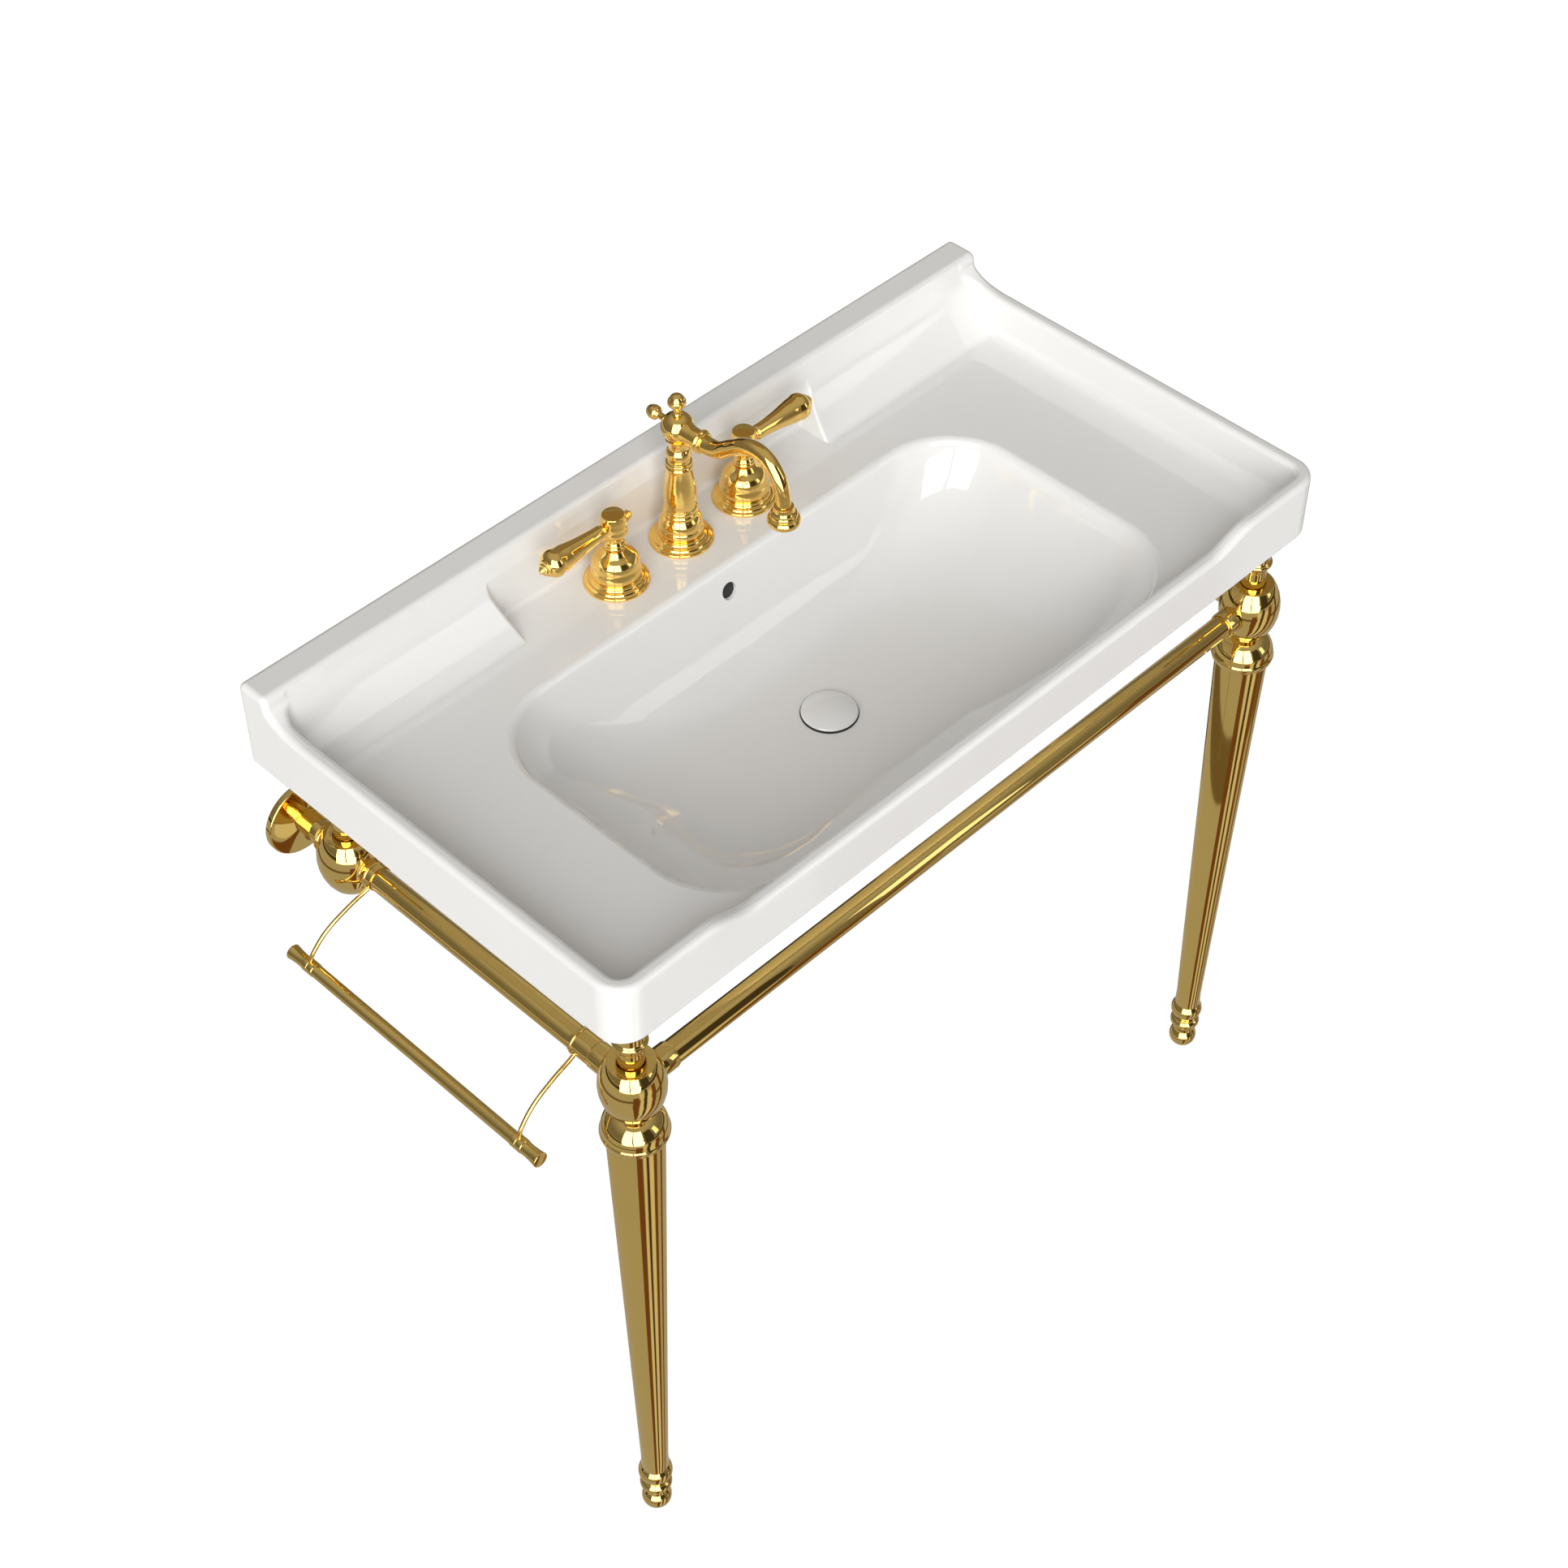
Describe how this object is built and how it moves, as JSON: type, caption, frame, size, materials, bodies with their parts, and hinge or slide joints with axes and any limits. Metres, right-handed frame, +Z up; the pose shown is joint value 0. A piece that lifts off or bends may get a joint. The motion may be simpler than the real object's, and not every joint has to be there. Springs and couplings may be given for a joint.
{
  "type": "console sink with legs",
  "caption": "Rectangular ceramic console sink on a gilt frame with turned front legs, a side towel bar and a faucet with arched spout and lever handles.",
  "frame": {"origin": "on the wall's face, midway between the two wall flanges, at the height of the frame's rails", "axes": "+X to the right seen from the front, -Y away from the wall towards the user, +Z up; the floor is at z -0.700"},
  "size_m": [0.9857, 0.492, 1.0035],
  "materials": {
    "vitreous": "glossy white glaze",
    "frame_gold": "polished, slightly khaki gold",
    "faucet_gold": "polished warm yellow gold",
    "plumbing_brass": "plain machined brass",
    "cartridge_plastic": "moulded",
    "seal_rubber": "moulded"
  },
  "bodies": {
    "console": {"basin": "vitreous", "front_left_hub": "frame_gold", "front_right_hub": "frame_gold", "rear_left_hub": "frame_gold", "rear_right_hub": "frame_gold", "front_left_post": "frame_gold", "front_right_post": "frame_gold", "rear_left_post": "frame_gold", "rear_right_post": "frame_gold", "front_rail": "frame_gold", "front_rail_ferrules": "frame_gold", "left_rail": "frame_gold", "left_rail_ferrules": "frame_gold", "right_rail": "frame_gold", "right_rail_ferrules": "frame_gold", "left_wall_tube": "frame_gold", "left_wall_flange": "frame_gold", "right_wall_tube": "frame_gold", "right_wall_flange": "frame_gold", "wall_collars": "frame_gold", "wall_plates": "frame_gold", "front_left_leg": "frame_gold", "front_left_collar": "frame_gold", "front_left_foot": "frame_gold", "front_right_leg": "frame_gold", "front_right_collar": "frame_gold", "front_right_foot": "frame_gold", "towel_bar": "frame_gold", "towel_arm_front": "frame_gold", "towel_arm_back": "frame_gold", "spout_flange": "faucet_gold", "spout_column": "faucet_gold", "spout_head": "faucet_gold", "top_finial": "faucet_gold", "rear_finial": "faucet_gold", "spout": "faucet_gold", "aerator": "faucet_gold", "left_escutcheon": "faucet_gold", "right_escutcheon": "faucet_gold", "left_valve": "plumbing_brass", "right_valve": "plumbing_brass", "deck_nuts": "plumbing_brass", "drain_flange": "plumbing_brass", "drain_nut": "plumbing_brass", "tailpiece": "plumbing_brass", "click_cartridge": "cartridge_plastic", "drain_seal": "seal_rubber", "bearing_pads": "seal_rubber"},
    "left_handle": {"left_spindle": "plumbing_brass", "left_handle_hub": "faucet_gold", "left_lever": "faucet_gold", "left_lever_finial": "faucet_gold"},
    "right_handle": {"right_spindle": "plumbing_brass", "right_handle_hub": "faucet_gold", "right_lever": "faucet_gold", "right_lever_finial": "faucet_gold"},
    "drain_stopper": {"drain_cap": "vitreous", "cap_stem": "plumbing_brass"}
  },
  "joints": [
    {"name": "left_handle_turn", "type": "hinge", "parent": "console", "child": "left_handle", "pos_m": [-0.0865, -0.0783, 0.18], "axis": [0, 0, 1], "range_deg": [0, 90]},
    {"name": "right_handle_turn", "type": "hinge", "parent": "console", "child": "right_handle", "pos_m": [0.0865, -0.0783, 0.18], "axis": [0, 0, 1], "range_deg": [-90, 0]},
    {"name": "cap_press", "type": "slide", "parent": "console", "child": "drain_stopper", "axis": [0, 0, 1], "range_m": [0, 0.008]}
  ]
}
